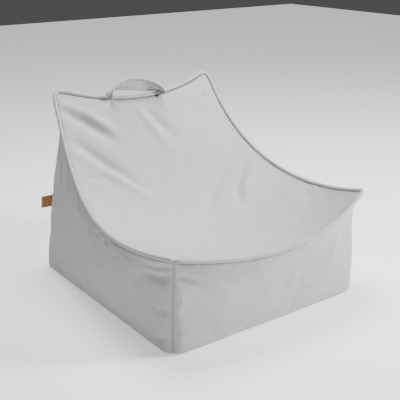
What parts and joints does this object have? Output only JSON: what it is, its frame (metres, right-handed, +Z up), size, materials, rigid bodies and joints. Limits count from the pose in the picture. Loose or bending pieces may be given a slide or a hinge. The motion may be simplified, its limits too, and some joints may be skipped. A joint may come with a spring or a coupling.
{
  "type": "bean bag chair",
  "caption": "Low lounge bean bag with a raised back, four pointed piped corners, a carry strap behind the back and a leather tag.",
  "frame": {"origin": "middle of the base panel on the floor", "axes": "+Z up, the front of the seat faces -Y, +X to the sitter's left (to the right as seen from the front)"},
  "size_m": [0.6806, 0.7232, 0.5486],
  "materials": {
    "canvas": "woven, matt",
    "piping_canvas": "woven on the bias, matt",
    "filler_cord": "twisted cotton",
    "handle_canvas": "woven, matt",
    "webbing": "woven",
    "tag_leather": "smooth tan",
    "label_satin": "satin weave",
    "zip_tape": "woven tape",
    "zip_teeth": "moulded coil",
    "zip_metal": "painted grey",
    "liner_cloth": "non-woven",
    "beads": "expanded beads"
  },
  "bodies": {
    "root": {"cover_seat_panel": "canvas", "cover_left_panel": "canvas", "cover_right_panel": "canvas", "cover_front_panel": "canvas", "cover_rear_panel_lower": "canvas", "cover_rear_panel_upper": "canvas", "cover_base_panel": "canvas", "surround_piping_casing": "piping_canvas", "surround_piping_cord": "filler_cord", "front_piping_casing": "piping_canvas", "front_piping_cord": "filler_cord", "cover_zip_teeth_upper": "zip_teeth", "cover_zip_teeth_lower": "zip_teeth", "cover_zip_tape_upper": "zip_tape", "cover_zip_tape_lower": "zip_tape", "cover_zip_closed_stop": "zip_metal", "cover_zip_open_stop": "zip_metal", "liner_seat_panel": "liner_cloth", "liner_left_panel": "liner_cloth", "liner_right_panel": "liner_cloth", "liner_front_panel": "liner_cloth", "liner_rear_panel_lower": "liner_cloth", "liner_rear_panel_upper": "liner_cloth", "liner_base_panel": "liner_cloth", "liner_zip_teeth_upper": "zip_teeth", "liner_zip_teeth_lower": "zip_teeth", "liner_zip_tape_upper": "zip_tape", "liner_zip_tape_lower": "zip_tape", "liner_zip_closed_stop": "zip_metal", "liner_zip_open_stop": "zip_metal", "bead_fill": "beads"},
    "handle": {"handle_top_face": "handle_canvas", "handle_webbing": "webbing", "handle_under_face": "handle_canvas"},
    "tag": {"leather_tag": "tag_leather"},
    "label": {"care_label": "label_satin"},
    "zip_slider": {"cover_zip_slider": "zip_metal"},
    "zip_pull": {"cover_zip_pull": "zip_metal"},
    "liner_slider": {"liner_zip_slider": "zip_metal"}
  },
  "joints": [
    {"name": "handle_fold", "type": "hinge", "parent": "root", "child": "handle", "pos_m": [-0.02031, 0.25442, 0.48711], "axis": [0.9994, -0.0233, -0.0266], "range_deg": [-85, 70], "stiffness_Nm_per_rad": 0.02},
    {"name": "tag_flap", "type": "hinge", "parent": "root", "child": "tag", "pos_m": [-0.28641, 0.30894, 0.203], "axis": [0.0822, -0.0669, 0.9944], "range_deg": [-60, 60], "stiffness_Nm_per_rad": 0.004},
    {"name": "care_label_flap", "type": "hinge", "parent": "root", "child": "label", "pos_m": [0.29687, 0.31843, 0.062], "axis": [-0.0822, -0.0669, 0.9944], "range_deg": [-60, 60], "stiffness_Nm_per_rad": 0.0005},
    {"name": "zip_slide", "type": "slide", "parent": "root", "child": "zip_slider", "axis": [1, 0, 0], "range_m": [0, 0.4272]},
    {"name": "zip_pull_swing", "type": "hinge", "parent": "zip_slider", "child": "zip_pull", "pos_m": [-0.2137, 0.32228, 0.06431], "axis": [0, -0.0672, 0.9977], "range_deg": [0, 165]},
    {"name": "liner_zip_slide", "type": "slide", "parent": "root", "child": "liner_slider", "axis": [1, 0, 0], "range_m": [0, 0.2872]}
  ]
}
